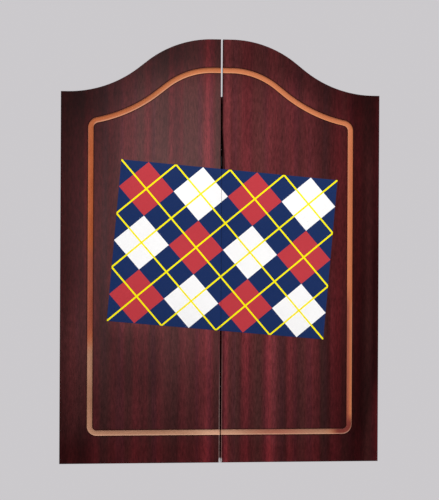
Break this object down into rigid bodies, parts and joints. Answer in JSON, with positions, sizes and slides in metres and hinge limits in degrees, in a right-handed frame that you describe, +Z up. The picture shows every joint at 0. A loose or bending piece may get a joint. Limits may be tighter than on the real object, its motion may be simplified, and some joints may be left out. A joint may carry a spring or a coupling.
{
  "type": "dart board cabinet",
  "caption": "Wall-hung dart board cabinet with two arched, hinged doors, an inlaid line and a print on the front, and a bristle board, scoreboards and dart holders inside.",
  "frame": {"origin": "on the back face of the cabinet, straight behind the bull of the board, on the plane of the seam between the doors", "axes": "+Z up, +X to the right as the player sees it, -Y out of the wall towards the player"},
  "size_m": [0.534, 0.0893, 0.7072],
  "materials": {
    "case_wood": "satin lacquer",
    "back_board": "bare",
    "rail_wood": "bare",
    "felt": "napped",
    "dowel_wood": "bare",
    "zinc_steel": "satin",
    "hinge_brass": "satin",
    "screw_brass": "satin",
    "catch_plastic": "matt",
    "magnet": "dull",
    "mahogany_face": "satin lacquer",
    "inlay_wood": "satin lacquer",
    "print_film": "matt",
    "mahogany_frame": "satin lacquer",
    "slate_paint": "chalky matt",
    "ledge_wood": "satin lacquer",
    "holder_plastic": "matt",
    "strike_steel": "satin",
    "chipboard": "bare",
    "sisal": "fibrous",
    "band_steel": "gloss",
    "spider_wire": "bright",
    "spacer_rubber": "matt",
    "ring_wire": "bright",
    "dart_metal": "satin"
  },
  "bodies": {
    "cabinet": {"left_side_panel": "case_wood", "right_side_panel": "case_wood", "top_panel": "case_wood", "bottom_panel": "case_wood", "back_panel": "back_board", "upper_hanging_rail": "rail_wood", "lower_hanging_rail": "rail_wood", "backing_felt": "felt", "carcase_dowels": "dowel_wood", "back_panel_brads": "zinc_steel", "board_bracket": "zinc_steel", "bracket_screws": "zinc_steel", "hinge_case_leaves": "hinge_brass", "hinge_pins": "hinge_brass", "case_hardware_screws": "screw_brass", "catch_bodies": "catch_plastic", "catch_magnets": "magnet"},
    "left_door": {"left_door_panel": "mahogany_face", "left_door_inlay": "inlay_wood", "left_door_print": "print_film", "left_door_outer_stile": "mahogany_frame", "left_door_meeting_stile": "mahogany_frame", "left_door_top_rail": "mahogany_frame", "left_door_bottom_rail": "mahogany_frame", "left_door_scoreboard": "slate_paint", "left_door_chalk_ledge": "ledge_wood", "left_door_dart_holder": "holder_plastic", "left_door_hinge_leaves": "hinge_brass", "left_door_screws": "screw_brass", "left_door_strikes": "strike_steel"},
    "right_door": {"right_door_panel": "mahogany_face", "right_door_inlay": "inlay_wood", "right_door_print": "print_film", "right_door_outer_stile": "mahogany_frame", "right_door_meeting_stile": "mahogany_frame", "right_door_top_rail": "mahogany_frame", "right_door_bottom_rail": "mahogany_frame", "right_door_scoreboard": "slate_paint", "right_door_chalk_ledge": "ledge_wood", "right_door_dart_holder": "holder_plastic", "right_door_hinge_leaves": "hinge_brass", "right_door_screws": "screw_brass", "right_door_strikes": "strike_steel"},
    "dartboard": {"dartboard_backing": "chipboard", "dartboard_sisal": "sisal", "dartboard_rim_band": "band_steel", "dartboard_spider": "spider_wire", "dartboard_hanging_screw": "zinc_steel", "dartboard_spacers": "spacer_rubber", "number_ring_hoop": "ring_wire", "number_ring_clips": "ring_wire", "number_ring_numerals": "ring_wire"},
    "left_dart_inner": {"left_dart_inner": "dart_metal"},
    "left_dart_middle": {"left_dart_middle": "dart_metal"},
    "left_dart_outer": {"left_dart_outer": "dart_metal"},
    "right_dart_inner": {"right_dart_inner": "dart_metal"},
    "right_dart_middle": {"right_dart_middle": "dart_metal"},
    "right_dart_outer": {"right_dart_outer": "dart_metal"}
  },
  "joints": [
    {"name": "left_door_hinge", "type": "hinge", "parent": "cabinet", "child": "left_door", "pos_m": [-0.264, -0.0603, 0], "axis": [0, 0, -1], "range_deg": [0, 180]},
    {"name": "right_door_hinge", "type": "hinge", "parent": "cabinet", "child": "right_door", "pos_m": [0.264, -0.0603, 0], "axis": [0, 0, 1], "range_deg": [0, 180]},
    {"name": "dartboard_turn", "type": "hinge", "parent": "cabinet", "child": "dartboard", "pos_m": [0, -0.012, 0], "axis": [0, -1, 0], "continuous": true},
    {"name": "left_dart_inner_lift", "type": "slide", "parent": "left_door", "child": "left_dart_inner", "axis": [0, 0, 1], "range_m": [0, 0.11]},
    {"name": "left_dart_middle_lift", "type": "slide", "parent": "left_door", "child": "left_dart_middle", "axis": [0, 0, 1], "range_m": [0, 0.11]},
    {"name": "left_dart_outer_lift", "type": "slide", "parent": "left_door", "child": "left_dart_outer", "axis": [0, 0, 1], "range_m": [0, 0.11]},
    {"name": "right_dart_inner_lift", "type": "slide", "parent": "right_door", "child": "right_dart_inner", "axis": [0, 0, 1], "range_m": [0, 0.11]},
    {"name": "right_dart_middle_lift", "type": "slide", "parent": "right_door", "child": "right_dart_middle", "axis": [0, 0, 1], "range_m": [0, 0.11]},
    {"name": "right_dart_outer_lift", "type": "slide", "parent": "right_door", "child": "right_dart_outer", "axis": [0, 0, 1], "range_m": [0, 0.11]}
  ]
}
